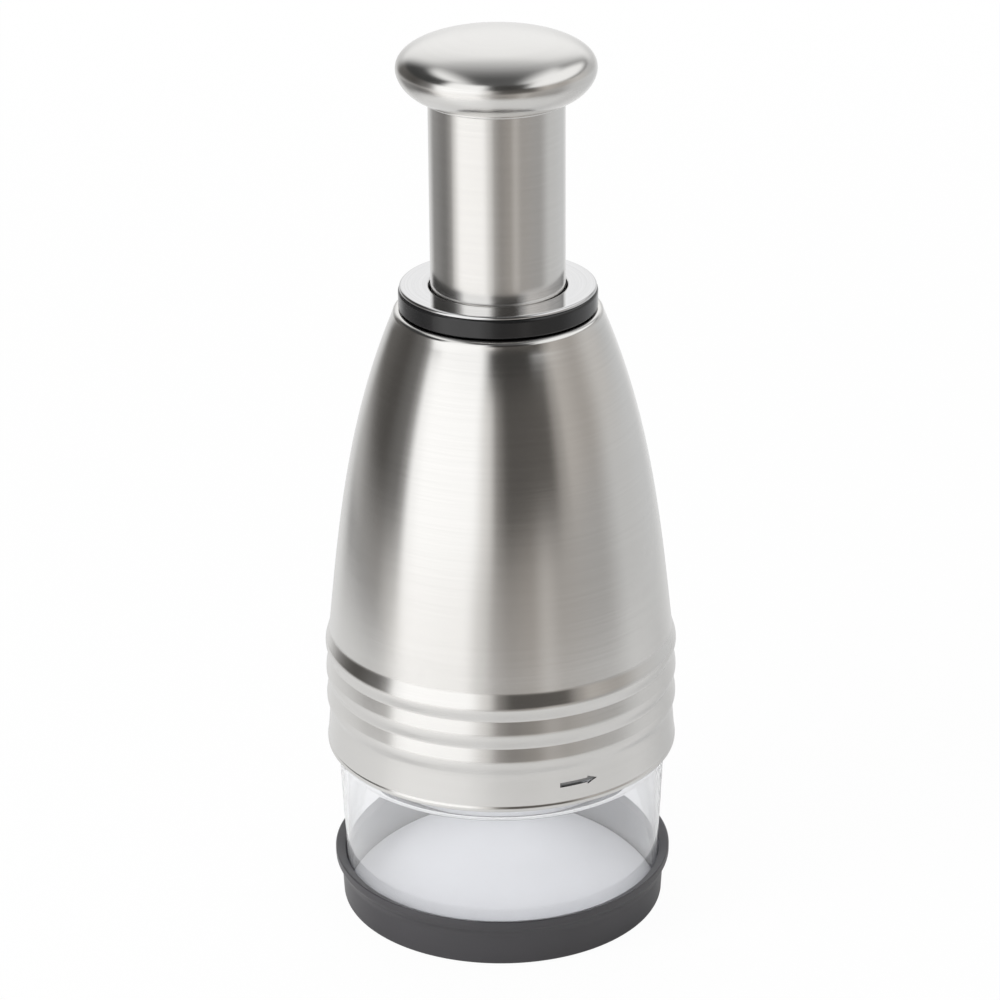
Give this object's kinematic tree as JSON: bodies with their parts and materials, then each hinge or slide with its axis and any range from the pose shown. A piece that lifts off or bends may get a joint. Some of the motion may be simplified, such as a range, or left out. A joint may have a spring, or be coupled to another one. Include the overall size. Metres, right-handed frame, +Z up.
{
  "type": "plunger food chopper",
  "caption": "Plunger food chopper: steel housing with a sprung palm knob, turning zig-zag blades, clear chamber and a black base cap with a chopping board.",
  "frame": {"origin": "centre of the underside, on the surface that the chopper stands on", "axes": "+Z up along the plunger's axis; the front, with the twist arrow a little to its right, faces -Y"},
  "size_m": [0.09, 0.09, 0.2326],
  "materials": {
    "brushed_steel": "circumferentially brushed stainless steel",
    "polished_steel": "polished stainless steel",
    "blade_steel": "ground and polished",
    "spring_steel": "drawn wire",
    "screw_steel": "zinc plated",
    "satin_black": "satin moulded plastic",
    "gloss_black": "glossy moulded plastic",
    "clear_plastic": "clear moulded plastic",
    "white_plastic": "smooth white plastic",
    "slick_plastic": "natural acetal",
    "grey_plastic": "moulded grey plastic",
    "rubber": "soft black rubber"
  },
  "bodies": {
    "base": {"base_cap": "satin_black", "chopping_board": "white_plastic", "foot_ring": "rubber"},
    "chamber": {"chamber": "clear_plastic"},
    "housing": {"housing_shell": "brushed_steel", "housing_liner": "grey_plastic", "collar": "gloss_black", "trim_disc": "polished_steel", "guide_bush": "satin_black", "collar_screw_1": "screw_steel", "collar_screw_2": "screw_steel", "collar_screw_3": "screw_steel", "bulkhead": "grey_plastic", "bulkhead_screw_1": "screw_steel", "bulkhead_screw_2": "screw_steel", "bulkhead_screw_3": "screw_steel", "cam_nut": "slick_plastic", "spring_washer": "screw_steel", "return_spring": "spring_steel"},
    "plunger": {"palm_knob": "brushed_steel", "knob_core": "grey_plastic", "knob_screw": "screw_steel", "plunger_tube": "brushed_steel", "tube_slider": "slick_plastic", "stop_ring": "rubber", "spindle_sleeve": "slick_plastic", "thrust_washer": "screw_steel"},
    "cutter": {"spindle": "grey_plastic", "spindle_clip": "spring_steel", "blade_hub": "white_plastic", "hub_screw": "screw_steel", "front_blade": "blade_steel", "rear_blade": "blade_steel"},
    "wiper": {"wiper_plate": "white_plastic"}
  },
  "joints": [
    {"name": "chamber_lift", "type": "slide", "parent": "base", "child": "chamber", "axis": [0, 0, -1], "range_m": [-0.08, 0]},
    {"name": "housing_twist", "type": "hinge", "parent": "chamber", "child": "housing", "pos_m": [0, 0, 0.05], "axis": [0, 0, 1], "range_deg": [0, 25]},
    {"name": "plunger_press", "type": "slide", "parent": "housing", "child": "plunger", "axis": [0, 0, -1], "range_m": [0, 0.0424], "stiffness_N_per_m": 400, "springref_m": -0.02, "deforming": ["return_spring"]},
    {"name": "cutter_turn", "type": "hinge", "parent": "plunger", "child": "cutter", "pos_m": [0, 0, 0.06], "axis": [0, 0, 1], "range_deg": [0, 30]},
    {"name": "wiper_slip", "type": "slide", "parent": "cutter", "child": "wiper", "axis": [0, 0, 1], "range_m": [0, 0.0112]}
  ],
  "couplings": [
    {"joint": "cutter_turn", "follows": "plunger_press", "rad_per_m": 12.348},
    {"joint": "wiper_slip", "follows": "plunger_press", "ratio": 0.262}
  ]
}
